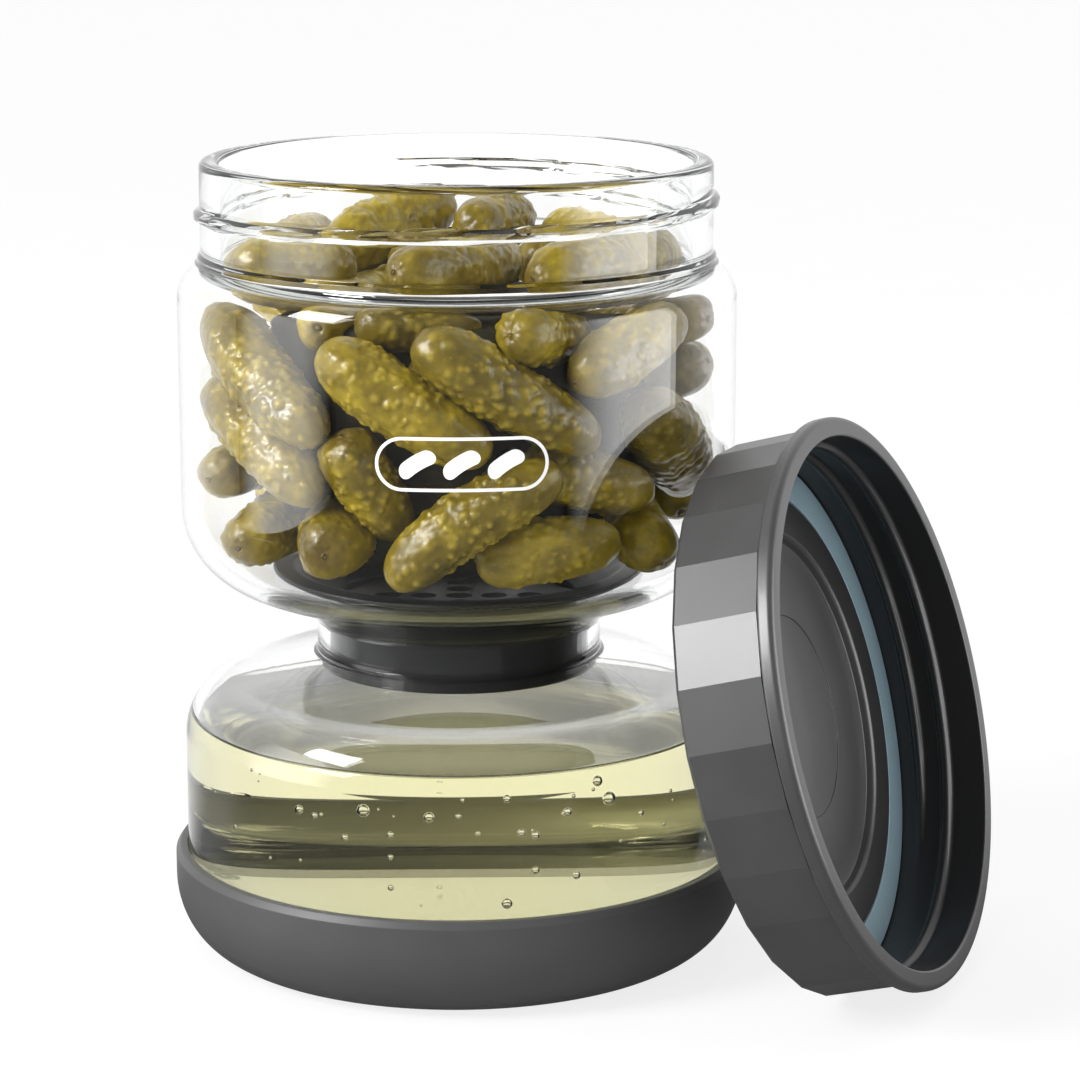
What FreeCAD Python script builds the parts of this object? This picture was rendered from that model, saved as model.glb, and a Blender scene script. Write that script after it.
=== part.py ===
import FreeCAD, Part
import math
import os

from FreeCAD import Vector, Placement, Rotation

# A one-piece hourglass jar for pickles. It stands on a soft grey base cup, a strainer plugs
# its waist, gherkins fill the upper chamber and drained brine lies in the lower one. The
# screw lid is off: it stands on its edge and leans on the glass.
# Millimetres, +Z up. The origin is the middle of the base's underside.

# ---- sizes that can be set by themselves ----
body_radius = 55.0          # both chambers, outside of the glass
glass_wall = 2.3
waist_radius = 28.3         # outside of the glass at its narrowest
neck_radius = 50.3          # outside of the neck, between the threads
neck_wall = 4.0

base_floor = 10.5           # thickness under the glass
base_wall = 2.3             # thickness beside the glass
base_height = 20.7
base_round_out = 12.0       # the underside's rounded edge, measured across
base_round_up = 15.0        # and measured upwards
base_bead = 1.3             # bevel at the cup's lip

bottom_corner = 10.0
lower_wall_rise = 42.9      # glass bottom to where the wall would meet the shoulder's slope
lower_slope = 14.8          # degrees, lower shoulder
lower_round = 12.5
waist_rise = 6.45           # height of the narrowest band
funnel_flare = 7.3          # how far the funnel above the waist opens out
funnel_rise = 6.3
soft_corner = 1.5           # rounding of the corners that the glass flows round
upper_corner = 17.5         # rounding of the upper chamber's lower corner
floor_flat = 1.9            # least flat ring between that rounding and the funnel
upper_rise = 65.4           # upper chamber, underside to shoulder
shoulder_round = 7.0
neck_rise = 19.9            # shoulder to rim
neck_bead = 0.6
neck_bead_height = 1.4
bead_round = 0.4
rim_round = 1.4

thread_pitch = 5.8
thread_depth = 1.2
thread_width = 2.6          # at the root
thread_fade = 35.0          # degrees over which a ridge runs out
jar_thread_below = 13.5     # from the rim down to where the ridge starts
jar_thread_turns = 1.3
jar_thread_bearing = 5.0    # degrees, where the ridge starts

brine_depth = 34.2

flange_lap = 1.8            # how far the strainer's flange lies on the glass floor
flange_edge = 1.3           # thickness of the strainer's flange
flange_round = 0.5
flange_dip = 1.4            # from the funnel's edge to where the flange's top turns down
strainer_wall = 2.2
strainer_lip_drop = 4.4     # how far the lip reaches under the waist's narrowest band
strainer_lip_step = 1.5     # how far the lip stands out under the glass
strainer_hole = 5.6
strainer_rings = ((0.0, 1), (7.2, 4), (14.5, 8))    # each ring's radius and number of holes

lid_facets = 28
lid_wall = 1.96             # thickness behind the middle of a facet
lid_depth = 21.0
lid_top_wall = 1.7
lid_edge_bevel = 0.8
lid_collar_proud = 1.94     # how far the collar stands out from the facets
lid_collar_height = 3.2
lid_collar_round = 1.2
lid_groove = 0.7            # groove between facets and collar
lid_thread_bearing = 40.0   # degrees, where its ridge starts
lid_thread_turns = 1.8
lid_thread_first = 6.6      # height of the ridge above the closed end where it starts
rib_clearance = 1.9         # between the raised ring that plugs the rim and the glass
rib_width = 9.2
rib_height = 1.7
rib_slope = 0.6             # how far each side of the ring leans in
rib_round = 1.2
plate_steps = (4.2, 15.2)   # how far inside the ring the faint steps in the middle are
plate_step = 0.25
gasket_thickness = 1.1
gasket_round = 0.3

lid_tilt = 15.4             # degrees, how far the lid's mouth looks up
lid_facing = -22.7          # degrees, the bearing that the mouth looks to
lid_sideways = 2.4

seat_gap = 0.2              # between pieces that stand or lean on each other
fill_gap = 0.15             # between the glass and what fills it
thread_clearance = 0.5      # between one thread's crest and the other's root

heap_core = 12.0            # how far the packed middle stays in from the glass
heap_foot = 3.0             # how far the packed middle stays up from the floor
heap_swell = 14.5           # height over which the middle reaches its full width
heap_under_shoulder = 3.8   # top of the packed middle, below the shoulder

# ---- values that follow ----
base_radius = body_radius + seat_gap + base_wall
glass_bottom = base_floor   # the glass stands on the floor of the cup
lower_wall_top = glass_bottom + lower_wall_rise
lower_slope_rise = math.tan(math.radians(lower_slope))
waist_bottom = lower_wall_top + (body_radius - waist_radius) * lower_slope_rise
waist_top = waist_bottom + waist_rise
funnel_radius = waist_radius + funnel_flare
upper_floor = waist_top + funnel_rise
shoulder_height = upper_floor + upper_rise
rim_height = shoulder_height + neck_rise

inner_radius = body_radius - glass_wall
waist_inner = waist_radius - glass_wall
throat_top = waist_top + 1.0
funnel_inside = funnel_radius - 1.0
upper_round = min(upper_corner, body_radius - funnel_radius - floor_flat)
neck_inner = neck_radius - neck_wall
upper_floor_inside = upper_floor + glass_wall
lower_floor_inside = glass_bottom + glass_wall
wall_down = glass_wall / math.cos(math.radians(lower_slope))
brine_level = lower_floor_inside + brine_depth
flange_radius = funnel_radius + flange_lap
flange_inside = funnel_inside - flange_dip

jar_crest = neck_radius + thread_depth
lid_inner = jar_crest + thread_clearance
lid_crest = lid_inner - thread_depth
lid_flat = lid_inner + lid_wall
lid_corner_radius = lid_flat / math.cos(math.pi / lid_facets)
lid_collar_radius = lid_flat + lid_collar_proud
rib_outside = neck_inner - rib_clearance
rib_inside = rib_outside - rib_width


def rounded_outline(corners):
    """Closed wire in the XZ plane from (radius, height, rounding) corners."""
    points = [Vector(x, 0, z) for x, z, _ in corners]
    count = len(points)
    starts, ends, middles = [], [], []
    for i, (_, _, rounding) in enumerate(corners):
        here = points[i]
        back = points[i - 1] - here
        ahead = points[(i + 1) % count] - here
        turn = math.pi - back.getAngle(ahead)
        if rounding <= 0:
            starts.append(here)
            ends.append(here)
            middles.append(None)
            continue
        reach = rounding * math.tan(turn / 2)
        back.normalize()
        ahead.normalize()
        middle = back + ahead
        middle.normalize()
        starts.append(here + back * reach)
        ends.append(here + ahead * reach)
        middles.append(here + middle * (rounding / math.cos(turn / 2) - rounding))
    edges = []
    for i in range(count):
        if middles[i] is not None:
            edges.append(Part.Arc(starts[i], middles[i], ends[i]).toShape())
        following = starts[(i + 1) % count]
        if ends[i].distanceToPoint(following) > 1e-6:
            edges.append(Part.LineSegment(ends[i], following).toShape())
    return Part.Wire(edges)


def turned(corners):
    """Solid of revolution about Z."""
    face = Part.Face(rounded_outline(corners))
    return face.revolve(Vector(0, 0, 0), Vector(0, 0, 1), 360)


def disc(radius, low, high):
    return Part.makeCylinder(radius, high - low, Vector(0, 0, low))


def thread_ridge(root, crest, start_height, turns, start_bearing):
    """Helical ridge that grows out of a wall at root and fades into it at both ends."""
    bury = 0.6 if crest > root else -0.6
    step = 12.0
    count = int(round(turns * 360 / step))
    sections = []
    for i in range(count + 1):
        along = i * step
        left = count * step - along
        fade = min(1.0, along / thread_fade, left / thread_fade)
        fade = math.sin(fade * math.pi / 2)
        top = root + (crest - root) * fade - 0.1 * bury * (1 - fade)
        z = start_height + thread_pitch * along / 360
        half_root = thread_width / 2 * (0.45 + 0.55 * fade)
        half_crest = 0.35 * half_root
        outline = [
            Vector(root - bury, 0, z - half_root),
            Vector(top, 0, z - half_crest),
            Vector(top, 0, z + half_crest),
            Vector(root - bury, 0, z + half_root),
        ]
        section = Part.makePolygon(outline + outline[:1])
        section.rotate(Vector(0, 0, 0), Vector(0, 0, 1), start_bearing + along)
        sections.append(section)
    return Part.makeLoft(sections, True, False)


# ---- glass ----
def upper_cavity(gap):
    """Space inside the upper chamber and neck, down to the top of the waist."""
    wall = inner_radius - gap
    floor = upper_floor_inside + gap
    throat = waist_inner - gap
    return [
        (0, waist_top, 0),
        (throat, waist_top, 0),
        (throat, throat_top, soft_corner),
        (funnel_inside, floor, soft_corner),
        (wall, floor, upper_round - glass_wall),
        (wall, shoulder_height - glass_wall, shoulder_round - glass_wall),
        (neck_inner - gap, shoulder_height - glass_wall, soft_corner),
        (neck_inner - gap, rim_height + 5, 0),
        (0, rim_height + 5, 0),
    ]


def lower_cavity(gap):
    """Space inside the lower chamber, up to the bottom of the waist."""
    wall = inner_radius - gap
    corner = lower_wall_top - wall_down + glass_wall * lower_slope_rise - gap
    throat = waist_inner - gap
    throat_bottom = waist_bottom - wall_down + glass_wall * lower_slope_rise - gap
    return [
        (0, lower_floor_inside + gap, 0),
        (wall, lower_floor_inside + gap, bottom_corner - glass_wall),
        (wall, corner, lower_round - glass_wall),
        (throat, throat_bottom, soft_corner),
        (throat, waist_top, 0),
        (0, waist_top, 0),
    ]


def jar_glass():
    outside = turned([
        (0, glass_bottom, 0),
        (body_radius, glass_bottom, bottom_corner),
        (body_radius, lower_wall_top, lower_round),
        (waist_radius, waist_bottom, soft_corner),
        (waist_radius, waist_top, soft_corner),
        (funnel_radius, upper_floor, soft_corner),
        (body_radius, upper_floor, upper_round),
        (body_radius, shoulder_height, shoulder_round),
        (neck_radius + neck_bead, shoulder_height, 0),
        (neck_radius + neck_bead, shoulder_height + neck_bead_height, bead_round),
        (neck_radius, shoulder_height + neck_bead_height + neck_bead, bead_round),
        (neck_radius, rim_height, rim_round),
        (neck_inner, rim_height, rim_round),
        (neck_inner, rim_height - neck_wall, 0),
        (0, rim_height - neck_wall, 0),
    ])
    ridge = thread_ridge(
        neck_radius, jar_crest, rim_height - jar_thread_below, jar_thread_turns, jar_thread_bearing
    )
    glass = outside.cut(turned(upper_cavity(0))).cut(turned(lower_cavity(0)))
    return glass.fuse(ridge)


def base_cup():
    flat = base_radius - base_round_out
    centre = Vector(flat, 0, base_round_up)
    low, side = Vector(flat, 0, 0), Vector(base_radius, 0, base_round_up)
    if base_round_out > base_round_up:
        ellipse = Part.Ellipse(side, low, centre)
    else:
        ellipse = Part.Ellipse(low, side, centre)
    a, b = sorted((ellipse.parameter(low), ellipse.parameter(side)))
    if b - a > math.pi:
        a, b = b, a + 2 * math.pi
    curve = Part.ArcOfEllipse(ellipse, a, b).toShape()
    outline = [
        side,
        Vector(base_radius, 0, base_height - base_bead),
        Vector(base_radius - base_bead * 0.6, 0, base_height),
        Vector(0, 0, base_height),
        Vector(0, 0, 0),
        low,
    ]
    lines = [Part.LineSegment(p, q).toShape() for p, q in zip(outline, outline[1:])]
    cup = Part.Face(Part.Wire(Part.__sortEdges__([curve] + lines)))
    cup = cup.revolve(Vector(0, 0, 0), Vector(0, 0, 1), 360)
    pocket = turned([
        (0, glass_bottom, 0),
        (body_radius + seat_gap, glass_bottom, bottom_corner),
        (body_radius + seat_gap, base_height + 1, 0),
        (0, base_height + 1, 0),
    ])
    return cup.cut(pocket)


def brine():
    filling = turned(lower_cavity(fill_gap))
    return filling.common(disc(body_radius, 0, brine_level))


def strainer():
    """Grommet through the waist: flange on the glass floor, plate with holes, lip below."""
    tube = waist_inner - seat_gap
    flange_low = upper_floor_inside + seat_gap
    funnel_low = throat_top + seat_gap
    lip_low = waist_bottom - strainer_lip_drop
    lip_radius = tube + strainer_lip_step
    glass_under = lower_wall_top - wall_down + (body_radius - lip_radius) * lower_slope_rise
    bore = tube - strainer_wall
    body = turned([
        (bore, lip_low, 0),
        (lip_radius, lip_low, flange_round),
        (lip_radius, glass_under - seat_gap, 0),
        (tube, glass_under + strainer_lip_step * lower_slope_rise - seat_gap, 0),
        (tube, funnel_low, flange_round),
        (funnel_inside - seat_gap, flange_low, flange_round),
        (flange_radius, flange_low, flange_round),
        (flange_radius, flange_low + flange_edge, flange_round),
        (flange_inside, flange_low + flange_edge, soft_corner),
        (bore, funnel_low + flange_edge, soft_corner),
    ])
    plate = disc(bore + flange_round, funnel_low - strainer_wall, funnel_low)
    for ring, number in strainer_rings:
        for i in range(number):
            hole = disc(strainer_hole / 2, funnel_low - 2 * strainer_wall, funnel_low + strainer_wall)
            angle = 2 * math.pi * i / number
            hole.translate(Vector(ring * math.cos(angle), ring * math.sin(angle), 0))
            plate = plate.cut(hole)
    return body.fuse(plate)


# ---- gherkins ----
# Each lies between two places, for the centres of its rounded ends, then has its thickness.
# A place is a turn in degrees from the front, a distance from the middle and a height. The
# places are given for a chamber and neck of these sizes, and spread with them. The top
# ones spread with the neck and keep their height over the shoulder.
layout_radius = 52.7
layout_neck = 46.3
layout_floor = 75.5
layout_shoulder = 138.6
layout_middle = 108.0

wall_gherkins = [
    ((-73, 45, 127), (-38, 45, 113), 12.6),
    ((-71, 45, 113), (-40, 45, 101), 12.2),
    ((-32, 43, 89), (-56, 22, 91), 14.0),
    ((-25, 45, 124), (2, 44, 111), 13.0),
    ((-2, 45, 127), (29, 45, 112), 12.2),
    ((-26, 42, 106), (-20, 36, 95), 11.6),
    ((-9, 45, 87), (19, 46, 102), 11.8),
    ((15, 38, 87), (36, 43, 89), 12.2),
    ((27, 36, 103), (48, 43, 99), 11.6),
    ((58, 44, 111), (86, 44, 98), 14.0),
    ((56, 44, 87), (64, 34, 95), 12.0),
    ((18, 43, 130), (38, 33, 128), 11.6),
    ((35, 46, 123), (56, 46, 129), 11.6),
]
side_gherkins = [
    ((-71, 47, 99), (-90, 34, 101), 10.4),
    ((-61, 44, 87), (-88, 28, 90), 12.4),
    ((74, 46, 129), (92, 28, 128), 10.6),
    ((84, 45, 118), (100, 30, 112), 11.4),
]
top_gherkins = [
    ((-118, 25, 140), (-169, 30, 144), 11.8),
    ((169, 20, 142), (162, 36, 142), 10.6),
    ((-66, 40, 139), (-74, 26, 138), 12.0),
    ((-12, 34, 141), (38, 13, 140), 12.0),
    ((30, 37, 140), (88, 39, 140), 12.4),
    ((90, 17, 138), (124, 25, 137), 11.0),
    ((-22, 35, 131), (0, 31, 130), 11.0),
    ((-6, 33, 121), (12, 32, 125), 10.6),
    ((-42, 36, 130), (-107, 14, 131), 12.0),
    ((-120, 9, 138), (146, 14, 136), 11.0),
    ((-94, 39, 137), (-130, 39, 139), 12.0),
    ((145, 38, 139), (108, 39, 137), 11.6),
]


def inside_place(place, spread):
    """The place in the jar, spread with the chamber, or with the neck and kept at its foot."""
    turn, out, up = place
    angle = math.radians(turn)
    if spread:
        out = out * inner_radius / layout_radius
        stretch = (shoulder_height - upper_floor_inside) / (layout_shoulder - layout_floor)
        height = upper_floor_inside + (up - layout_floor) * stretch
    else:
        out = out * neck_inner / layout_neck
        height = shoulder_height + up - layout_shoulder
    return Vector(out * math.sin(angle), -out * math.cos(angle), height)


def gherkin(first, last, thickness, spread=True):
    start, end = inside_place(first, spread), inside_place(last, spread)
    reach = start.distanceToPoint(end)
    radius = thickness / 2
    body = turned([
        (0, -radius, 0),
        (radius, -radius, 0.96 * radius),
        (radius, reach + radius, 0.96 * radius),
        (0, reach + radius, 0),
    ])
    body.Placement = Placement(start, Rotation(Vector(0, 0, 1), end - start))
    return body


def far_side(place):
    """A place half round the jar and as far under the middle of the heap as it was over it."""
    turn, out, up = place
    return (180 + turn, out, 2 * layout_middle - up)


def gherkin_heap():
    foot = upper_floor_inside + heap_foot
    swollen = upper_floor_inside + heap_swell
    top = shoulder_height - heap_under_shoulder
    core = turned([
        (0, foot, 0),
        (flange_inside, foot, heap_foot),
        (inner_radius - heap_core, swollen, heap_foot),
        (inner_radius - heap_core, top, heap_foot),
        (0, top, 0),
    ])
    pieces = []
    for first, last, thickness in wall_gherkins:
        pieces.append(gherkin(first, last, thickness))
        pieces.append(gherkin(far_side(first), far_side(last), thickness))
    for first, last, thickness in side_gherkins:
        pieces.append(gherkin(first, last, thickness))
    for first, last, thickness in top_gherkins:
        pieces.append(gherkin(first, last, thickness, False))
    heap = core.multiFuse(pieces)
    room = turned(upper_cavity(fill_gap))
    return heap.common(room)


# ---- lid ----
def facet_ring(radius, height):
    half = math.pi / lid_facets
    corners = []
    for i in range(lid_facets + 1):
        angle = half + 2 * half * i
        corners.append(Vector(radius * math.cos(angle), radius * math.sin(angle), height))
    return Part.makePolygon(corners)


def lid_shell():
    collar_low = lid_depth - lid_collar_height
    small = lid_corner_radius - lid_edge_bevel
    wall = Part.makeLoft([
        facet_ring(small, 0),
        facet_ring(lid_corner_radius, lid_edge_bevel),
        facet_ring(lid_corner_radius, collar_low),
    ], True, True)
    groove_floor = lid_flat - lid_groove
    collar = turned([
        (0, collar_low - 1, 0),
        (groove_floor, collar_low - 1, 0),
        (groove_floor, collar_low, 0),
        (lid_collar_radius, collar_low, lid_collar_round / 2),
        (lid_collar_radius, lid_depth, lid_collar_round),
        (0, lid_depth, 0),
    ])
    groove = disc(lid_collar_radius + 1, collar_low - lid_groove, collar_low)
    groove = groove.cut(disc(groove_floor, collar_low - lid_groove, collar_low))
    wide_step, small_step = (rib_inside - step for step in plate_steps)
    cavity = turned([
        (0, lid_top_wall, 0),
        (small_step, lid_top_wall, 0),
        (small_step, lid_top_wall + plate_step, 0),
        (wide_step, lid_top_wall + plate_step, 0),
        (wide_step, lid_top_wall, 0),
        (rib_inside, lid_top_wall, 0),
        (rib_inside + rib_slope, lid_top_wall + rib_height, rib_round),
        (rib_outside - rib_slope, lid_top_wall + rib_height, rib_round),
        (rib_outside, lid_top_wall, 0),
        (lid_inner, lid_top_wall, rib_slope),
        (lid_inner, lid_depth + 1, 0),
        (0, lid_depth + 1, 0),
    ])
    ridge = thread_ridge(lid_inner, lid_crest, lid_thread_first, lid_thread_turns, lid_thread_bearing)
    shell = wall.cut(groove).fuse(collar).cut(cavity)
    return shell.fuse(ridge)


def lid_gasket():
    ring_in = rib_outside + seat_gap
    ring_out = lid_inner - seat_gap
    low = lid_top_wall + seat_gap / 2
    return turned([
        (ring_in, low, gasket_round),
        (ring_out, low, rib_slope),
        (ring_out, low + gasket_thickness, gasket_round),
        (ring_in, low + gasket_thickness, gasket_round),
    ])


def leaning(shape):
    """Stand the lid on a flat of its closed end and lean that end's top edge on the glass."""
    tilt = math.radians(lid_tilt)
    face_flat = lid_flat - lid_edge_bevel
    height = lid_flat * math.cos(tilt) - lid_edge_bevel * math.sin(tilt)
    reach = body_radius + seat_gap + face_flat * math.sin(tilt)
    leaned = shape.copy()
    leaned.Placement = Placement(
        Vector(reach, lid_sideways, height), Rotation(Vector(0, 1, 0), 90 - lid_tilt)
    )
    leaned.rotate(Vector(0, 0, 0), Vector(0, 0, 1), lid_facing)
    return leaned


nodes = {
    "jar_glass": jar_glass,
    "base_cup": base_cup,
    "strainer": strainer,
    "brine": brine,
    "gherkin_heap": gherkin_heap,
    "lid_shell": lambda: leaning(lid_shell()),
    "lid_gasket": lambda: leaning(lid_gasket()),
}

os.makedirs("parts", exist_ok=True)
for name, make in nodes.items():
    shape = make()
    solid = shape.Solids[0]
    print(name, "solids", len(shape.Solids), "valid", solid.isValid(), "volume", round(solid.Volume))
    solid.exportStep(f"parts/{name}.step")
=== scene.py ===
import math
import random

import bmesh
import bpy
import numpy as np
from mathutils import Matrix, Vector


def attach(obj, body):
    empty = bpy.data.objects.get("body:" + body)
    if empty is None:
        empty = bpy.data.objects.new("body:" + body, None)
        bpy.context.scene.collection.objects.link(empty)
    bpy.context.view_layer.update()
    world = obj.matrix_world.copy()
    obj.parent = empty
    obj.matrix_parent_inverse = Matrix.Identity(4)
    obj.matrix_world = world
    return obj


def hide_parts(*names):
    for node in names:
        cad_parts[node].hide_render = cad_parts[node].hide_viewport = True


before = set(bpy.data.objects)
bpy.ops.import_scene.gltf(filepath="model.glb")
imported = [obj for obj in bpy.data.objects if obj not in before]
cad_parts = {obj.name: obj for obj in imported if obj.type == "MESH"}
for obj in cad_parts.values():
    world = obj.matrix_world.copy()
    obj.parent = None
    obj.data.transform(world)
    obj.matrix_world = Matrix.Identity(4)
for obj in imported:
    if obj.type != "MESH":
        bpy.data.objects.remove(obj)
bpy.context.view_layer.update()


# ---------------------------------------------------------------- camera
# A long lens a little over a jar's height above the table, looking slightly down. It stands
# right of the jar's axis, so that the jar sits left of centre and the lid has room.
camera = bpy.data.cameras.new("camera")
camera.sensor_width = 36.0
camera.lens = 118.37
camera.clip_end = 30.0
viewpoint = bpy.data.objects.new("camera", camera)
viewpoint.location = (0.01629, -0.69372, 0.23349)
viewpoint.rotation_euler = (math.radians(90 - 12.318), 0, 0)
bpy.context.scene.collection.objects.link(viewpoint)
bpy.context.scene.camera = viewpoint
bpy.context.scene.view_settings.view_transform = "Standard"


# ---------------------------------------------------------------- floor, world and lamps
# A white table without an end, one large soft lamp high on the left and a tall glowing board
# on either side, as a small packshot studio has them.
def paint(code):
    """Linear colour of an sRGB hex value."""
    parts = [int(code[i:i + 2], 16) / 255 for i in (1, 3, 5)]
    return [p / 12.92 if p <= 0.04045 else ((p + 0.055) / 1.055) ** 2.4 for p in parts] + [1.0]


def add(tree, kind, feeds=(), stops=(), **settings):
    """Adds a node. feeds are its inputs' values or what they are joined to."""
    made = tree.nodes.new(kind)
    for name, value in settings.items():
        setattr(made, name, value)
    for place, value in dict(feeds).items():
        if isinstance(value, bpy.types.Node):
            value = value.outputs[0]
        if isinstance(value, bpy.types.NodeSocket):
            tree.links.new(value, made.inputs[place])
        else:
            made.inputs[place].default_value = value
    if stops:
        points = made.color_ramp.elements
        while len(points) < len(stops):
            points.new(1.0)
        for point, (position, colour) in zip(points, stops):
            point.position = position
            point.color = colour if isinstance(colour, list) else [colour] * 3 + [1.0]
    return made


def blank(name):
    """A new material with no nodes in its tree."""
    material = bpy.data.materials.new(name)
    material.use_nodes = True
    material.node_tree.nodes.clear()
    return material, material.node_tree


def surroundings(tree, direction, overhead):
    """How bright the studio is for each kind of ray that meets it. Straight rays find it
    white. Mirrored and refracted rays find it white behind the object and dark before it."""
    path = add(tree, "ShaderNodeLightPath")
    heading = add(tree, "ShaderNodeVectorMath", {0: direction}, operation="NORMALIZE")
    parts = add(tree, "ShaderNodeSeparateXYZ", {0: heading})
    mirrored = add(tree, "ShaderNodeMapRange", {
        "Value": parts.outputs["Y"], "From Min": 0.25, "From Max": 0.65, "To Min": 0.14,
    }, interpolation_type="SMOOTHSTEP")
    behind = add(tree, "ShaderNodeMapRange", {
        "Value": parts.outputs["Y"], "From Min": -0.12, "From Max": 0.30, "To Min": 0.12,
    }, interpolation_type="SMOOTHSTEP")
    above = add(tree, "ShaderNodeMapRange", {
        "Value": parts.outputs["Z"], "From Min": 0.3, "From Max": 0.75,
        "To Min": 1.0, "To Max": overhead,
    }, interpolation_type="SMOOTHSTEP")
    refracted = add(tree, "ShaderNodeMath", {0: behind, 1: above}, operation="MULTIPLY")
    refracted = add(tree, "ShaderNodeMath", {0: refracted, 1: through_glass}, operation="MULTIPLY")
    soft = add(tree, "ShaderNodeMix", {
        0: path.outputs["Is Glossy Ray"], 2: ambient, 3: mirrored,
    })
    bent = add(tree, "ShaderNodeMix", {
        0: path.outputs["Is Transmission Ray"], 2: soft, 3: refracted,
    })
    return add(tree, "ShaderNodeMix", {
        0: path.outputs["Is Camera Ray"], 2: bent, 3: seen_white,
    })


ambient, seen_white, through_glass = 0.85, 1.04, 1.25
world = bpy.data.worlds.new("studio")
world.use_nodes = True
sky = world.node_tree
sky.nodes.clear()
outward = add(sky, "ShaderNodeTexCoord").outputs["Generated"]
backdrop = add(sky, "ShaderNodeBackground", {
    "Color": (1, 1, 1, 1), "Strength": surroundings(sky, outward, 0.9),
})
add(sky, "ShaderNodeOutputWorld", {"Surface": backdrop})
bpy.context.scene.world = world

# Matt, so it carries a soft shadow and mirrors nothing. Its grain is 1.1 mm.
table_top, tree = blank("white laminate table, matt")
grain = add(tree, "ShaderNodeTexNoise", {"Scale": 900.0, "Detail": 2.0})
white = add(
    tree, "ShaderNodeValToRGB", {"Fac": grain},
    stops=((0.3, paint("#ececec")), (0.7, paint("#f0f0f0"))),
)
lit = add(tree, "ShaderNodeBsdfPrincipled", {
    "Base Color": white, "Roughness": 0.9, "Specular IOR Level": 0.0,
})
spot = add(tree, "ShaderNodeTexCoord").outputs["Object"]
bright = add(tree, "ShaderNodeEmission", {
    "Color": (1, 1, 1, 1), "Strength": surroundings(tree, spot, 1.0),
})
path = add(tree, "ShaderNodeLightPath")
studio_rays = add(tree, "ShaderNodeMath", {
    0: path.outputs["Is Camera Ray"], 1: path.outputs["Is Glossy Ray"],
}, operation="MAXIMUM")
studio_rays = add(tree, "ShaderNodeMath", {
    0: studio_rays, 1: path.outputs["Is Transmission Ray"],
}, operation="MAXIMUM")
share = add(tree, "ShaderNodeMapRange", {
    "Value": path.outputs["Is Camera Ray"], "To Min": 0.97, "To Max": 0.78,
})
share = add(tree, "ShaderNodeMath", {0: studio_rays, 1: share}, operation="MULTIPLY")
add(tree, "ShaderNodeOutputMaterial", {
    "Surface": add(tree, "ShaderNodeMixShader", {0: share, 1: lit, 2: bright}),
})
half = 12.0
sheet = bpy.data.meshes.new("table")
sheet.from_pydata(
    [(-half, -half, 0), (half, -half, 0), (half, half, 0), (-half, half, 0)], [], [(0, 1, 2, 3)]
)
sheet.materials.append(table_top)
table = bpy.data.objects.new("table", sheet)
bpy.context.scene.collection.objects.link(table)


def softbox(name, place, aim, width, height, power):
    """A rectangular lamp that shines from place towards aim."""
    lamp = bpy.data.lights.new(name, "AREA")
    lamp.shape = "RECTANGLE"
    lamp.size, lamp.size_y = width, height
    lamp.energy = power
    holder = bpy.data.objects.new(name, lamp)
    holder.location = place
    holder.rotation_euler = (Vector(aim) - Vector(place)).to_track_quat("-Z", "Y").to_euler()
    holder.visible_camera = False
    bpy.context.scene.collection.objects.link(holder)
    return holder


jar_middle = Vector((0, 0, 0.08))
from_upper_left = Vector((-0.743, -0.396, 0.537))
softbox(
    "key_softbox", jar_middle + 1.1 * from_upper_left, jar_middle,
    width=0.40, height=0.50, power=12.0,
)


def reflector(name, near, far, tall, strength, soft_near, soft_far):
    """A tall glowing board on the floor from near to far, that only mirrored and refracted
    rays meet. It fades over a share of its width at either end."""
    near, far = Vector(near), Vector(far)
    width = (far - near).length
    board = bpy.data.meshes.new(name)
    board.from_pydata(
        [(0, 0, 0), (width, 0, 0), (width, 0, tall), (0, 0, tall)], [], [(0, 1, 2, 3)]
    )
    glow, tree = blank(name + " silk")
    place = add(tree, "ShaderNodeTexCoord").outputs["Object"]
    across = add(tree, "ShaderNodeSeparateXYZ", {0: place})
    rising = add(tree, "ShaderNodeMapRange", {
        "Value": across.outputs["X"], "From Max": soft_near * width,
    }, interpolation_type="SMOOTHSTEP")
    falling = add(tree, "ShaderNodeMapRange", {
        "Value": across.outputs["X"], "From Min": width, "From Max": width - soft_far * width,
    }, interpolation_type="SMOOTHSTEP")
    fade = add(tree, "ShaderNodeMath", {0: rising, 1: falling}, operation="MULTIPLY")
    power = add(tree, "ShaderNodeMath", {0: fade, 1: strength}, operation="MULTIPLY")
    add(tree, "ShaderNodeOutputMaterial", {
        "Surface": add(tree, "ShaderNodeEmission", {"Strength": power}),
    })
    board.materials.append(glow)
    holder = bpy.data.objects.new(name, board)
    holder.location = (near.x, near.y, 0)
    holder.rotation_euler = (0, 0, math.atan2(far.y - near.y, far.x - near.x))
    for ray in ("camera", "diffuse", "volume_scatter", "shadow"):
        setattr(holder, "visible_" + ray, False)
    bpy.context.scene.collection.objects.link(holder)


reflector(
    "right_board", (0.30, -0.33), (0.42, 0.04), tall=0.30, strength=4.1,
    soft_near=0.5, soft_far=0.02,
)
reflector(
    "left_board", (-0.36, -0.33), (-0.42, 0.05), tall=0.30, strength=2.6,
    soft_near=0.35, soft_far=0.3,
)


# ---------------------------------------------------------------- jar
# One piece of clear soda glass, blown in a mould: two chambers joined by a narrow waist, a
# heavy neck with a moulded screw thread and a fire-polished rim.
MM = 0.001


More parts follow.
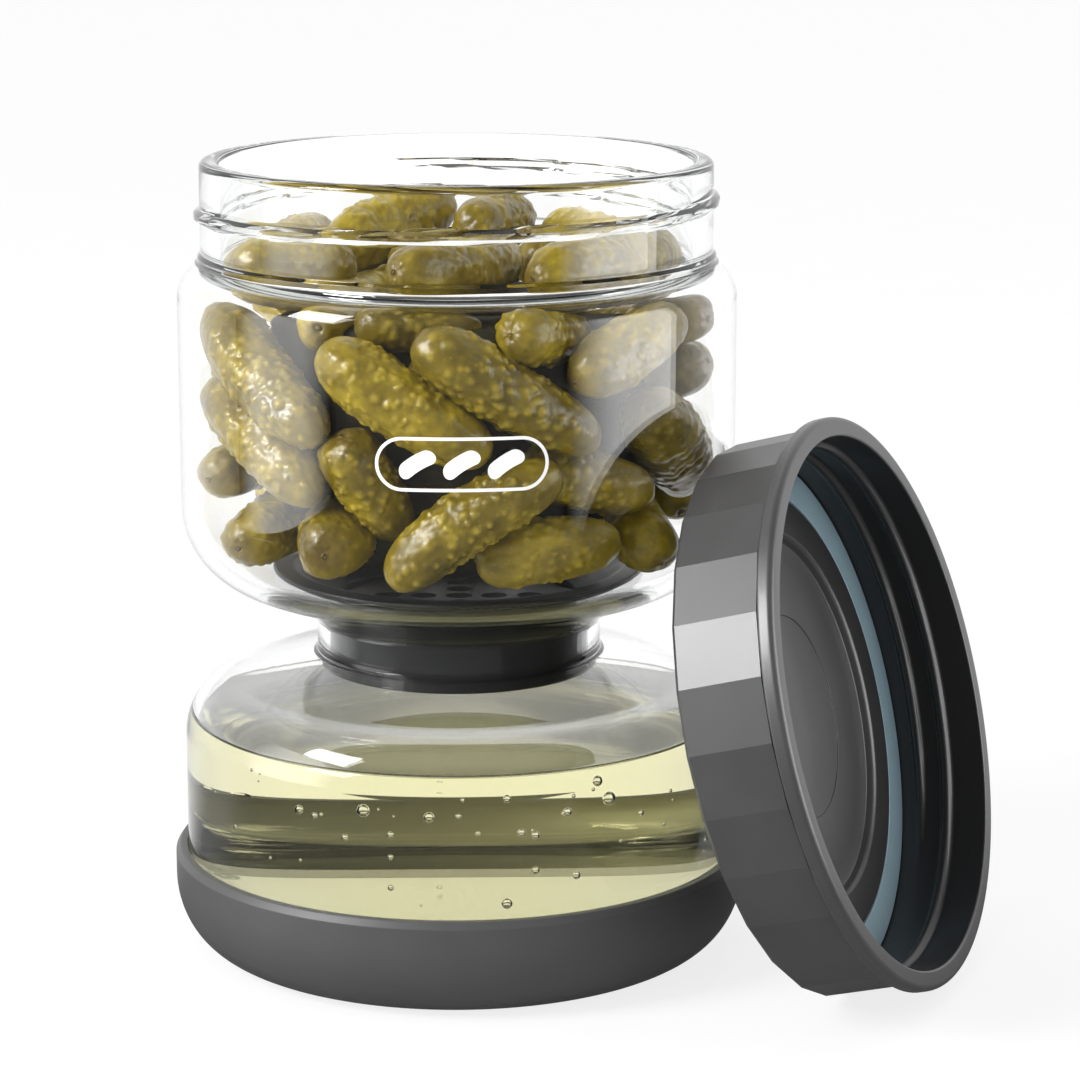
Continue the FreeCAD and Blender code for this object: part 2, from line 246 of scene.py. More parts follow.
def rounded(corners, step=6.0):
    """Outline points through (radius, height, rounding) corners, an arc in each rounding."""
    outline = []
    last = len(corners) - 1
    for i, (r, z, rounding) in enumerate(corners):
        here = Vector((r, z))
        if rounding <= 0 or i in (0, last):
            outline.append(here)
            continue
        back = (Vector(corners[i - 1][:2]) - here).normalized()
        ahead = (Vector(corners[i + 1][:2]) - here).normalized()
        opening = math.acos(max(-1.0, min(1.0, back.dot(ahead))))
        turn = math.pi - opening
        reach = rounding * math.tan(turn / 2)
        centre = here + (back + ahead).normalized() * rounding / math.sin(opening / 2)
        first = here + back * reach - centre
        sweep = turn if back.x * ahead.y - back.y * ahead.x < 0 else -turn
        count = max(2, math.ceil(math.degrees(turn) / step))
        for k in range(count + 1):
            angle = sweep * k / count
            outline.append(centre + Vector((
                first.x * math.cos(angle) - first.y * math.sin(angle),
                first.x * math.sin(angle) + first.y * math.cos(angle),
            )))
    return outline


def filled_in(outline, low, high, step, low_radius):
    """The outline with more points between two heights, where it is wider than low_radius."""
    fuller = [outline[0]]
    for here in outline[1:]:
        before = fuller[-1]
        rise = here.y - before.y
        if min(before.x, here.x) > low_radius and min(before.y, here.y) < high \
                and max(before.y, here.y) > low and abs(rise) > step:
            count = math.ceil(abs(rise) / step)
            fuller += [before.lerp(here, k / count) for k in range(1, count)]
        fuller.append(here)
    return fuller


def lathe(name, outline, around, reshape=None, closed=False, sharp=30.0):
    """Turns outline points about Z. reshape gives a point's radius from radius, height, angle."""
    corners, rows = [], []
    for r, z in outline:
        if r < 1e-6:
            rows.append([len(corners)] * around)
            corners.append((0, 0, z * MM))
            continue
        rows.append(list(range(len(corners), len(corners) + around)))
        for k in range(around):
            angle = 2 * math.pi * k / around
            wide = reshape(r, z, angle) if reshape else r
            corners.append((wide * MM * math.cos(angle), wide * MM * math.sin(angle), z * MM))
    if closed:
        rows.append(rows[0])
    faces = []
    for low, high in zip(rows, rows[1:]):
        for k in range(around):
            n = (k + 1) % around
            face = [low[k], low[n], high[n], high[k]]
            faces.append(list(dict.fromkeys(face)))
    mesh = bpy.data.meshes.new(name)
    mesh.from_pydata(corners, [], faces)
    mesh.shade_smooth()
    mesh.set_sharp_from_angle(angle=math.radians(sharp))
    made = bpy.data.objects.new(name, mesh)
    bpy.context.scene.collection.objects.link(made)
    return made


def ridge_height(z, angle, start_height, turns, start_bearing, depth):
    """How far a moulded screw thread stands out at one height and angle."""
    pitch, width, fade_over = 5.8, 2.6, 35.0
    most = 0.0
    along = (math.degrees(angle) - start_bearing) % 360
    while along <= turns * 360:
        left = turns * 360 - along
        fade = math.sin(min(1.0, along / fade_over, left / fade_over) * math.pi / 2)
        root = width / 2 * (0.45 + 0.55 * fade)
        crest = 0.35 * root
        off = abs(z - start_height - pitch * along / 360)
        flank = max(0.0, min(1.0, (root - off) / (root - crest)))
        most = max(most, depth * fade * flank * flank * (3 - 2 * flank))
        along += 360
    return most


body_radius, wall = 55.0, 2.3
inner_radius = body_radius - wall
waist_radius, waist_inner = 28.3, 26.0
neck_radius, neck_inner, rim_height = 50.3, 46.3, 158.5
lower_shoulder, waist_low, waist_high = 53.4, 60.45, 66.9
glass_low, upper_floor, shoulder = 10.6, 73.2, 138.6
room_edge, room_top = 51.63, 58.68
thread_low, thread_high, thread_depth = 142.5, 155.5, 1.2


def lower_room(gap):
    """Corners of the lower chamber's inside, from the middle of its floor to the waist."""
    return [
        (0, glass_low + wall + gap, 0),
        (inner_radius - gap, glass_low + wall + gap, 7.7),
        (inner_radius - gap, room_edge - gap, 10.2),
        (waist_inner - gap, room_top - gap, 1.5),
    ]


def jar_surface(r, z, angle):
    """The jar's radius with the thread on the outside of its neck."""
    if r > neck_inner + 2 and z > shoulder + 2:
        return r + ridge_height(
            z, angle, start_height=145.0, turns=1.3, start_bearing=5.0, depth=thread_depth
        )
    return r


outline = rounded([
    (0, glass_low, 0),
    (body_radius, glass_low, 10),
    (body_radius, lower_shoulder, 12.5),
    (waist_radius, waist_low, 1.5),
    (waist_radius, waist_high, 1.5),
    (35.6, upper_floor, 1.5),
    (body_radius, upper_floor, 17.5),
    (body_radius, shoulder, 7),
    (neck_radius + 0.6, shoulder, 0.5),
    (neck_radius + 0.6, shoulder + 1.4, 0.4),
    (neck_radius, shoulder + 2.0, 0.4),
    (neck_radius, rim_height, 1.4),
    (neck_inner, rim_height, 1.4),
    (neck_inner, shoulder - wall, 1.5),
    (inner_radius, shoulder - wall, 4.7),
    (inner_radius, upper_floor + wall, 15.2),
    (34.6, upper_floor + wall, 1.5),
    (waist_inner, waist_high + 1, 1.5),
] + lower_room(0)[::-1])
outline = filled_in(outline, thread_low, thread_high, 0.36, neck_radius - 0.5)
jar = lathe("jar_of_glass", outline, 200, jar_surface)


def clear_stuff(name, ior, passed_on, tint, density):
    """A see-through material that bends light, lets the lamps' light in and takes up a tint."""
    material, tree = blank(name)
    clear = add(tree, "ShaderNodeBsdfPrincipled", {
        "Base Color": (1, 1, 1, 1), "Roughness": 0.0, "IOR": ior, "Transmission Weight": 1.0,
    })
    lets_light_in = add(tree, "ShaderNodeBsdfTransparent", {"Color": passed_on})
    path = add(tree, "ShaderNodeLightPath")
    lamp_or_bounce = add(tree, "ShaderNodeMath", {
        0: path.outputs["Is Shadow Ray"], 1: path.outputs["Is Diffuse Ray"],
    }, operation="MAXIMUM")
    surface = add(tree, "ShaderNodeMixShader", {0: lamp_or_bounce, 1: clear, 2: lets_light_in})
    volume = add(tree, "ShaderNodeVolumeAbsorption", {"Color": tint, "Density": density})
    add(tree, "ShaderNodeOutputMaterial", {"Surface": surface, "Volume": volume})
    return material


# Colourless from the front, with a faint green where it is seen through its length.
soda_glass = clear_stuff(
    "soda glass, mould-blown and fire-polished", ior=1.5, passed_on=(0.97, 0.97, 0.97, 1),
    tint=(0.04, 0.16, 0.10, 1), density=13.0,
)
jar.data.materials.append(soda_glass)
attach(jar, "root")
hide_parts("jar_glass")


# ---------------------------------------------------------------- print on the glass
# A small generic mark in white enamel ink, screen-printed on the front of the upper
# chamber and fired: a long rounded frame round three leaning gherkins.
print_bearing, print_height = math.radians(-90 + 2.1), 108.1


def on_the_glass(across, up, lift):
    """A place on the chamber's front from its distances from the middle of the print."""
    bearing = print_bearing + across / body_radius
    out = (body_radius + lift) * MM
    return (out * math.cos(bearing), out * math.sin(bearing), (print_height + up) * MM)


def stadium(length, thickness, steps, bend=0.0):
    """Points round a bar with round ends, bent like a gherkin."""
    reach = (length - thickness) / 2
    points = []
    for side in (1, -1):
        for k in range(steps + 1):
            angle = math.radians(90 - 180 * k / steps)
            points.append((
                side * (reach + thickness / 2 * math.cos(angle)),
                side * thickness / 2 * math.sin(angle),
            ))
        straight = 12
        for k in range(1, straight):
            points.append((side * reach * (1 - 2 * k / straight), -side * thickness / 2))
    return [(x, y + bend * (1 - (2 * x / length) ** 2)) for x, y in points]


ink_low, ink_high = 0.01, 0.07
corners, faces = [], []


def lay_ink(outer, inner):
    """A raised film between two outlines with as many points."""
    start, count = len(corners), len(outer)
    for ring, lift in ((outer, ink_low), (outer, ink_high), (inner, ink_high), (inner, ink_low)):
        corners.extend(on_the_glass(x, y, lift) for x, y in ring)
    for band in range(4):
        a, b = start + band * count, start + (band + 1) % 4 * count
        for k in range(count):
            n = (k + 1) % count
            faces.append((a + n, a + k, b + k, b + n))


frame_long, frame_tall, line = 32.4, 10.2, 0.62
lay_ink(
    stadium(frame_long, frame_tall, 24),
    stadium(frame_long - 2 * line, frame_tall - 2 * line, 24),
)
for middle in (-8.2, 0.0, 8.2):
    lean = math.radians(32)
    whole = stadium(7.6, 3.0, 12, 0.5)
    turned = [
        (
            middle + x * math.cos(lean) - y * math.sin(lean),
            x * math.sin(lean) + y * math.cos(lean) - 0.2,
        )
        for x, y in whole
    ]
    centre = (middle, 0.1)
    lay_ink(turned, [
        (centre[0] + (x - centre[0]) * 0.02, centre[1] + (y - centre[1]) * 0.02) for x, y in turned
    ])
film = bpy.data.meshes.new("print")
film.from_pydata(corners, [], faces)
print_mark = bpy.data.objects.new("print_mark", film)
bpy.context.scene.collection.objects.link(print_mark)

# Opaque and half matt beside the shine of the glass, with a 0.3 mm mottle.
enamel_ink, tree = blank("white enamel ink, screen-printed")
mottle = add(tree, "ShaderNodeTexNoise", {"Scale": 3000.0, "Detail": 2.0})
ink_white = add(
    tree, "ShaderNodeValToRGB", {"Fac": mottle},
    stops=((0.3, paint("#f2f2f0")), (0.7, paint("#fbfbfa"))),
)
ink = add(tree, "ShaderNodeBsdfPrincipled", {"Base Color": ink_white, "Roughness": 0.45})
add(tree, "ShaderNodeOutputMaterial", {"Surface": ink})
print_mark.data.materials.append(enamel_ink)
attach(print_mark, "root")


# ---------------------------------------------------------------- base cup
# A shallow cup that the jar stands in, moulded in dark grey polypropylene with a soft-touch
# skin. Its underside curves up into the wall, and its lip is chamfered against the glass.
# The inside, behind the glass and brine, is painted a lighter, warmer grey: painted light that
# stands in for light in the brine.
base_radius, base_height, floor_high = 57.5, 20.7, 10.5
round_out, round_up = 12.0, 15.0
foot_recess, foot_inner = 0.6, 38.0
profile = [
    (0, foot_recess),
    (foot_inner, foot_recess),
    (foot_inner + 1.5, 0.0),
    (base_radius - round_out - 1.5, 0.0),
]
for k in range(23):
    angle = math.radians(90 * k / 22)
    profile.append((
        base_radius - round_out + round_out * math.sin(angle),
        round_up - round_up * math.cos(angle),
    ))
profile += [tuple(p) for p in rounded([
    (base_radius, round_up + 0.5, 0),
    (base_radius, base_height - 1.3, 0.5),
    (base_radius - 0.9, base_height, 0.4),
    (body_radius + 0.2, base_height, 0.3),
    (body_radius + 0.2, floor_high, 10.2),
    (0, floor_high, 0),
])]
base = lathe("base_cup_moulded", profile, 180)

# The skin spreads a highlight into a broad dull sheen. Its grain is 0.3 mm, and it is
# cloudy over about 20 mm.
soft_touch, tree = blank("polypropylene, moulded, soft-touch skin")
place = add(tree, "ShaderNodeTexCoord").outputs["Object"]
cloudy = add(tree, "ShaderNodeTexNoise", {"Vector": place, "Scale": 45.0, "Detail": 3.0})
grey = add(
    tree, "ShaderNodeValToRGB", {"Fac": cloudy},
    stops=((0.25, paint("#464647")), (0.75, paint("#4c4c4c"))),
)
parts = add(tree, "ShaderNodeSeparateXYZ", {0: place})
level_place = add(tree, "ShaderNodeCombineXYZ", {0: parts.outputs["X"], 1: parts.outputs["Y"]})
from_axis = add(tree, "ShaderNodeVectorMath", {0: level_place}, operation="LENGTH")
# Painted light: inside the wall and above the foot, the grey is mixed to a lighter, warmer grey.
inner_wall = (body_radius + 0.3) * MM
painted_light_inside = add(tree, "ShaderNodeMapRange", {
    "Value": from_axis.outputs["Value"], "From Min": inner_wall, "From Max": inner_wall + 0.1 * MM,
    "To Min": 1.0, "To Max": 0.0,
})
above_foot = add(
    tree, "ShaderNodeMath", {0: parts.outputs["Z"], 1: 8 * MM}, operation="GREATER_THAN",
)
painted_light_inside = add(tree, "ShaderNodeMath", {0: painted_light_inside, 1: above_foot}, operation="MULTIPLY")
grey = add(
    tree, "ShaderNodeMix", {0: painted_light_inside, 6: grey, 7: paint("#8d8b82")}, data_type="RGBA",
).outputs[2]
fine = add(tree, "ShaderNodeTexNoise", {"Vector": place, "Scale": 3500.0, "Detail": 2.0})
dull = add(tree, "ShaderNodeMapRange", {"Value": fine, "To Min": 0.42, "To Max": 0.50})
skin = add(tree, "ShaderNodeBump", {"Height": fine, "Strength": 0.12, "Distance": 0.00004})
cup = add(tree, "ShaderNodeBsdfPrincipled", {
    "Base Color": grey, "Roughness": dull, "Normal": skin, "Specular IOR Level": 0.6,
})
add(tree, "ShaderNodeOutputMaterial", {"Surface": cup})
base.data.materials.append(soft_touch)
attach(base, "root")
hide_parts("base_cup")


# ---------------------------------------------------------------- strainer
# A grommet of dark grey silicone pressed into the waist. Its flange lies on the glass
# under the gherkins, its plate has round holes and its lip grips under the waist.
# Nearly black and satin, with a faint bloom over about 17 mm.
silicone, tree = blank("silicone, moulded, dark grey")
place = add(tree, "ShaderNodeTexCoord").outputs["Object"]
bloom = add(tree, "ShaderNodeTexNoise", {"Vector": place, "Scale": 60.0, "Detail": 3.0})
dark = add(
    tree, "ShaderNodeValToRGB", {"Fac": bloom},
    stops=((0.3, paint("#1e1e1f")), (0.7, paint("#242425"))),
)
dull = add(tree, "ShaderNodeMapRange", {"Value": bloom, "To Min": 0.30, "To Max": 0.40})
rubber = add(tree, "ShaderNodeBsdfPrincipled", {
    "Base Color": dark, "Roughness": dull, "Specular IOR Level": 0.5,
})
add(tree, "ShaderNodeOutputMaterial", {"Surface": rubber})
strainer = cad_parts["strainer"]
for held in strainer.material_slots:
    held.material = silicone


# ---------------------------------------------------------------- brine
# The drained pickling brine: water, vinegar and salt, tinted pale yellow by the gherkins.
# It climbs a little at the glass, and small air bubbles cling inside the front wall.
level, climb = 47.0, 1.3
into_wall = 0.35
liquid = rounded(lower_room(-into_wall)[:2] + [(inner_radius + into_wall, level + climb, 0)])
for k in range(15):
    off = 7.0 * (k / 14) ** 2
    risen = climb * math.exp(-off / 1.5)
    liquid.append(Vector((inner_radius + into_wall - 0.1 - off, level + risen)))
liquid += [Vector((r, level)) for r in (44.0, 40.0, 30.0, 20.0, 10.0, 0.0)]
brine = lathe("brine_pool", liquid, 192)

# The larger bubbles: turn from the front, height and width. Smaller ones are scattered.
bubbles = [
    (-19, 40.6, 2.5), (-5, 40.1, 2.0), (-34, 39.1, 1.8), (34, 41.2, 2.7), (31, 45.0, 2.0),
    (11, 22.9, 2.1), (24, 39.9, 1.7), (11, 43.5, 1.5), (14, 36.7, 1.6), (17, 36.0, 1.6),
    (17, 29.1, 1.5), (26, 27.2, 1.6), (-23, 35.0, 1.4), (-13, 36.4, 1.3), (-30, 38.5, 1.3),
    (-13, 26.0, 1.2), (42, 37.1, 1.2), (1, 40.4, 1.1), (-13, 32.0, 1.1), (5, 37.0, 1.0),
]
draw = random.Random(5)
for _ in range(56):
    bubbles.append((draw.uniform(-62, 250), draw.uniform(21, 45), draw.uniform(0.4, 0.95)))
with_bubbles = bmesh.new()
with_bubbles.from_mesh(brine.data)
for turn, up, width in bubbles:
    out = inner_radius - width / 2 - 0.15
    seat = Matrix.Translation(Vector((
        out * math.sin(math.radians(turn)), -out * math.cos(math.radians(turn)), up
    )) * MM)
    ball = bmesh.ops.create_uvsphere(
        with_bubbles, u_segments=20, v_segments=12, radius=width / 2 * MM, matrix=seat
    )
    skin = list({face for corner in ball["verts"] for face in corner.link_faces})
    bmesh.ops.reverse_faces(with_bubbles, faces=skin)
    for face in skin:
        face.smooth = True
with_bubbles.to_mesh(brine.data)
with_bubbles.free()

# Pale yellow, deeper the longer the way through it.
brine_water = clear_stuff(
    "pickling brine, clear", ior=1.34, passed_on=(0.98, 0.98, 0.96, 1),
    tint=(0.86, 0.80, 0.10, 1), density=7.0,
)
brine.data.materials.append(brine_water)
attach(brine, "root")
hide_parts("brine")


# ---------------------------------------------------------------- gherkins
# Pickling cucumbers of 35 to 45 mm, whole, in their warty olive skins and wet with brine.
# They lie as they fell, pressed against the glass, with more behind them.
def inside_place(place):
    """A place in the jar from its turn from the front, distance from the middle and height."""
    turn, out, up = place
    return Vector((out * math.sin(math.radians(turn)), -out * math.cos(math.radians(turn)), up))


def grow(first, last, thickness, bend, seed, rows, columns):
    """Points, wart tops and straightened skin places of one gherkin, in millimetres."""
    draw = random.Random(seed)
    start, end = inside_place(first), inside_place(last)
    radius = thickness / 2
    along = (end - start).normalized()
    half_length = (end - start).length / 2 + radius
    middle = (start + end) / 2
    outward = Vector((middle.x, middle.y, 0))
    outward = (outward - outward.dot(along) * along).normalized()
    sideways = along.cross(outward)
    hug = (first[1] + last[1]) / 2 - math.hypot(middle.x, middle.y)
    sag = outward * min(hug, 2.5) + sideways * bend

    u = np.sin(np.linspace(-math.pi / 2, math.pi / 2, 1500))
    blunt = draw.uniform(4.2, 5.6)
    narrow = draw.uniform(0.02, 0.12)
    belly = draw.uniform(-0.06, 0.04)
    taper = 1 - narrow * u - 0.06 * u * u + belly * u ** 3
    r = radius * np.sqrt(np.clip(1 - np.abs(u) ** blunt, 0, 1)) * taper
    x = half_length * u
    walked = np.concatenate(([0], np.cumsum(np.hypot(np.diff(x), np.diff(r)))))
    at = np.linspace(0, walked[-1], rows + 1)
    x, r = np.interp(at, walked, x), np.interp(at, walked, r)
    r[0] = r[-1] = 0.0
    slope_x, slope_r = np.gradient(x, at), np.gradient(r, at)
    slope_x[[0, -1]] = 0.0
    steep = np.hypot(slope_x, slope_r)
    normal_x, normal_r = -slope_r / steep, slope_x / steep

    around = np.linspace(0, 2 * math.pi, columns, endpoint=False)
    X, A = np.meshgrid(x, around, indexing="ij")
    R = np.repeat(r[:, None], columns, 1)
    NX, NR = np.repeat(normal_x[:, None], columns, 1), np.repeat(normal_r[:, None], columns, 1)
    waves = 0.028 * np.cos(3 * A + draw.uniform(0, 6) + 0.02 * X)
    for _ in range(6):
        waves = waves + draw.uniform(0.004, 0.016) * np.cos(
            draw.choice((1, 2, 4, 5)) * A + draw.uniform(-0.45, 0.45) * X + draw.uniform(0, 6)
        )
    for _ in range(5):
        waves = waves + draw.uniform(0.002, 0.007) * np.cos(
            draw.choice((7, 9, 11)) * A + draw.uniform(-0.2, 0.2) * X + draw.uniform(0, 6)
        )
    lift = waves * R

    straight = np.stack((X, R * np.cos(A), R * np.sin(A)), -1).reshape(-1, 3)
    tops = np.zeros(len(straight))
    rise = np.zeros(len(straight))
    area = 2 * math.pi * radius * half_length * 1.8
    rough_middle, rough_spread = draw.uniform(-0.25, 0.25), draw.uniform(0.34, 0.5)
    bold = draw.uniform(0.75, 1.15)
    for _ in range(int(area / 6.5)):
        v = draw.gauss(rough_middle, rough_spread)
        if abs(v) > 0.93:
            v = draw.uniform(-0.9, 0.9)
        a = draw.uniform(0, 2 * math.pi)
        row = min(rows, max(0, int(np.searchsorted(x, v * half_length))))
        centre = np.array((x[row], r[row] * math.cos(a), r[row] * math.sin(a)))
        size = draw.choice((0.5, 0.6, 0.7, 0.8, 0.95))
        tall = bold * draw.uniform(0.25, 0.62) * (1 - 0.5 * abs(v))
        square = ((straight - centre) ** 2).sum(1)
        near = square < (3 * size) ** 2
        bump = np.exp(-(square[near] / (size * size)) ** 1.4)
        rise[near] = np.maximum(rise[near], tall * bump)
        tops[near] = np.maximum(tops[near], bump ** 1.5 * min(1.0, tall / 0.4))
    lift = lift + rise.reshape(X.shape)

    for end_sign, deep, nub in ((-1, 0.45, 0.5), (1, 0.25, 0.2)):
        edge = (X * end_sign > 0.6 * half_length)
        scar = np.exp(-(R / 1.5) ** 2) * deep - np.exp(-(R / 0.55) ** 2) * nub
        lift = lift - np.where(edge, scar, 0.0)

    XX = X + NX * lift
    RR = R + NR * lift
    t = X / half_length
    bow = (1 - t * t) - 0.35
    lean = -2 * t / half_length
    axes = np.array((along, outward, sideways))
    sag_vector = np.array(sag)
    base_line = np.array(middle) + XX[..., None] * axes[0] + bow[..., None] * sag_vector
    forward = axes[0] + lean[..., None] * sag_vector
    forward = forward / np.linalg.norm(forward, axis=-1, keepdims=True)
    across = axes[1] - (forward @ axes[1])[..., None] * forward
    across = across / np.linalg.norm(across, axis=-1, keepdims=True)
    third = np.cross(forward, across)
    points = base_line + (RR * np.cos(A))[..., None] * across + (RR * np.sin(A))[..., None] * third
    return points, tops.reshape(X.shape), straight.reshape(X.shape + (3,)), draw.random()


def heap_piece(name, gherkins, rows, columns):
    """One mesh of several gherkins, with what their skin needs to know at each point."""
    corners, faces, warts, skins, tones, ends = [], [], [], [], [], []
    for seed, first, last, thickness, bend in gherkins:
        points, tops, straight, tone = grow(first, last, thickness, bend, seed, rows, columns)
        start = len(corners)
        shift = 0.09 * seed
        inner = points[1:-1].reshape(-1, 3)
        corners.extend((inner * MM).tolist())
        corners.append((points[0, 0] * MM).tolist())
        corners.append((points[-1, 0] * MM).tolist())
        for field, store in ((tops, warts), (straight[..., 0] / straight[..., 0].max(), ends)):
            store.extend(field[1:-1].reshape(-1).tolist())
            store.extend((float(field[0, 0]), float(field[-1, 0])))
        flat = straight * MM + shift
        skins.extend(flat[1:-1].reshape(-1, 3).tolist())
        skins.extend((flat[0, 0].tolist(), flat[-1, 0].tolist()))
        tones.extend([tone] * (len(inner) + 2))
        first_pole = start + len(inner)
        for i in range(rows - 2):
            for k in range(columns):
                n = (k + 1) % columns
                a, b = start + i * columns, start + (i + 1) * columns
                faces.append((a + k, b + k, b + n, a + n)[::-1])
        final = start + (rows - 2) * columns
        for k in range(columns):
            n = (k + 1) % columns
            faces.append((first_pole, start + n, start + k)[::-1])
            faces.append((first_pole + 1, final + k, final + n)[::-1])
    mesh = bpy.data.meshes.new(name)
    mesh.from_pydata(corners, [], faces)
    mesh.shade_smooth()
    for title, values in (("wart", warts), ("tone", tones), ("lengthways", ends)):
        mesh.attributes.new(title, "FLOAT", "POINT").data.foreach_set("value", values)
    mesh.attributes.new("skin", "FLOAT_VECTOR", "POINT").data.foreach_set(
        "vector", np.array(skins, np.float32).reshape(-1)
    )
    made = bpy.data.objects.new(name, mesh)
    bpy.context.scene.collection.objects.link(made)
    return made


# Each: seed, one end and the other, thickness, and how far it bows along the glass.
front_gherkins = (
    (1, (-73, 45, 127), (-38, 45, 113), 12.6, 1.2),
    (2, (-71, 45, 113), (-40, 45, 101), 12.2, -1.2),
    (3, (-32, 43, 89), (-56, 22, 91), 14.0, 0.0),
    (4, (-25, 45, 124), (2, 44, 111), 13.0, 0.8),
    (5, (-2, 45, 127), (29, 45, 112), 12.2, 0.8),
    (6, (-26, 42, 106), (-20, 36, 95), 11.6, 0.8),
    (7, (-9, 45, 87), (19, 46, 102), 11.8, -2.4),
    (8, (15, 38, 87), (36, 43, 89), 12.2, 0.0),
    (9, (27, 36, 103), (48, 43, 99), 11.6, 0.8),
    (10, (58, 44, 111), (86, 44, 98), 14.0, 0.8),
    (11, (56, 44, 87), (64, 34, 95), 12.0, 0.0),
    (12, (18, 43, 130), (38, 33, 128), 11.6, 0.0),
    (13, (35, 46, 123), (56, 46, 129), 11.6, 0.0),
)
side_gherkins = (
    (14, (-71, 47, 99), (-90, 34, 101), 10.4, 0.0),
    (15, (-61, 44, 87), (-88, 28, 90), 12.4, 0.0),
    (16, (74, 46, 129), (92, 28, 128), 10.6, 0.0),
    (17, (84, 45, 118), (100, 30, 112), 11.4, 0.0),
)
top_gherkins = (
    (18, (-118, 25, 140), (-169, 30, 144), 11.8, 0.0),
    (19, (169, 20, 142), (162, 36, 142), 10.6, 0.0),
    (20, (-66, 40, 139), (-74, 26, 138), 12.0, 0.0),
    (21, (-12, 34, 141), (38, 13, 140), 12.0, 0.8),
    (22, (30, 37, 140), (88, 39, 140), 12.4, -0.8),
    (23, (90, 17, 138), (124, 25, 137), 11.0, 0.0),
    (24, (-22, 35, 131), (0, 31, 130), 11.0, 0.0),
    (25, (-6, 33, 121), (12, 32, 125), 10.6, 0.0),
    (26, (-42, 36, 130), (-107, 14, 131), 12.0, 0.0),
    (27, (-120, 9, 138), (146, 14, 136), 11.0, 0.0),
    (28, (-94, 39, 137), (-130, 39, 139), 12.0, 0.0),
    (29, (145, 38, 139), (108, 39, 137), 11.6, 0.0),
)
far_gherkins = tuple(
    (30 + seed, (180 + a[0], a[1], 216 - a[2]), (180 + b[0], b[1], 216 - b[2]), thick, -bend)
    for seed, a, b, thick, bend in front_gherkins
)

# Olive to yellow in patches of 8 mm and lengthways streaks of 2.4 mm, with pale warts and
# specks about 1.6 mm apart. Pores of 0.7 mm and the brine on it break its highlights up.
gherkin_skin, tree = blank("gherkin skin, pickled and wet")
skin_place = add(tree, "ShaderNodeAttribute", attribute_name="skin").outputs["Vector"]
wart = add(tree, "ShaderNodeAttribute", attribute_name="wart").outputs["Fac"]
tone = add(tree, "ShaderNodeAttribute", attribute_name="tone").outputs["Fac"]
lengthways = add(tree, "ShaderNodeAttribute", attribute_name="lengthways").outputs["Fac"]
patches = add(tree, "ShaderNodeTexNoise", {
    "Vector": skin_place, "Scale": 130.0, "Detail": 4.0, "Roughness": 0.55,
})
drawn_out = add(tree, "ShaderNodeMapping", {
    "Vector": skin_place, "Scale": (0.16, 1.0, 1.0),
}, vector_type="POINT")
streaks = add(tree, "ShaderNodeTexNoise", {"Vector": drawn_out, "Scale": 420.0, "Detail": 3.0})
depth_of_colour = 0.0
for source, weight in ((patches, 0.75), (streaks, 0.25), (tone, 0.22)):
    depth_of_colour = add(tree, "ShaderNodeMath", {
        0: source, 1: weight, 2: depth_of_colour,
    }, operation="MULTIPLY_ADD")
olive = add(
    tree, "ShaderNodeValToRGB", {"Fac": depth_of_colour},
    stops=((0.38, paint("#574905")), (0.58, paint("#7e6b07")), (0.80, paint("#a8920f"))),
)
speck = add(tree, "ShaderNodeTexVoronoi", {
    "Vector": skin_place, "Scale": 620.0, "Randomness": 1.0,
})
speck_mask = add(
    tree, "ShaderNodeValToRGB", {"Fac": speck.outputs["Distance"]},
    stops=((0.10, 1.0), (0.22, 0.0)),
)
pale = add(tree, "ShaderNodeMath", {0: speck_mask, 1: 0.22}, operation="MULTIPLY")
pale = add(tree, "ShaderNodeMath", {
    0: wart, 1: 0.5, 2: pale,
}, operation="MULTIPLY_ADD", use_clamp=True)
skin_colour = add(
    tree, "ShaderNodeMix", {0: pale, 6: olive, 7: paint("#bba52c")}, data_type="RGBA",
)
tips = add(tree, "ShaderNodeMath", {0: lengthways}, operation="ABSOLUTE")
tip_mask = add(tree, "ShaderNodeMapRange", {
    "Value": tips, "From Min": 0.93, "From Max": 1.0, "To Max": 0.6,
})
whole_colour = add(tree, "ShaderNodeMix", {
    0: tip_mask, 6: skin_colour.outputs[2], 7: paint("#5a4718"),
}, data_type="RGBA")
pimples = add(tree, "ShaderNodeTexVoronoi", {
    "Vector": skin_place, "Scale": 560.0, "Smoothness": 0.6,
}, feature="SMOOTH_F1")
swelling = add(tree, "ShaderNodeMapRange", {
    "Value": pimples.outputs["Distance"], "From Min": 0.1, "From Max": 0.7,
    "To Min": 1.0, "To Max": 0.0,
}, interpolation_type="SMOOTHSTEP")
pores = add(tree, "ShaderNodeTexNoise", {"Vector": skin_place, "Scale": 1400.0, "Detail": 3.0})
relief = add(tree, "ShaderNodeMath", {0: pores, 1: 0.12, 2: swelling}, operation="MULTIPLY_ADD")
wetness = add(tree, "ShaderNodeMapRange", {"Value": patches, "To Min": 0.26, "To Max": 0.42})
fine_relief = add(tree, "ShaderNodeBump", {
    "Height": relief, "Strength": 0.6, "Distance": 0.0003,
})
flesh = add(tree, "ShaderNodeBsdfPrincipled", {
    "Base Color": whole_colour.outputs[2], "Roughness": wetness, "Normal": fine_relief,
    "Subsurface Weight": 0.12, "Subsurface Radius": (0.9, 0.7, 0.25), "Subsurface Scale": 0.002,
    "Coat Weight": 0.30, "Coat Roughness": 0.12,
})
add(tree, "ShaderNodeOutputMaterial", {"Surface": flesh})

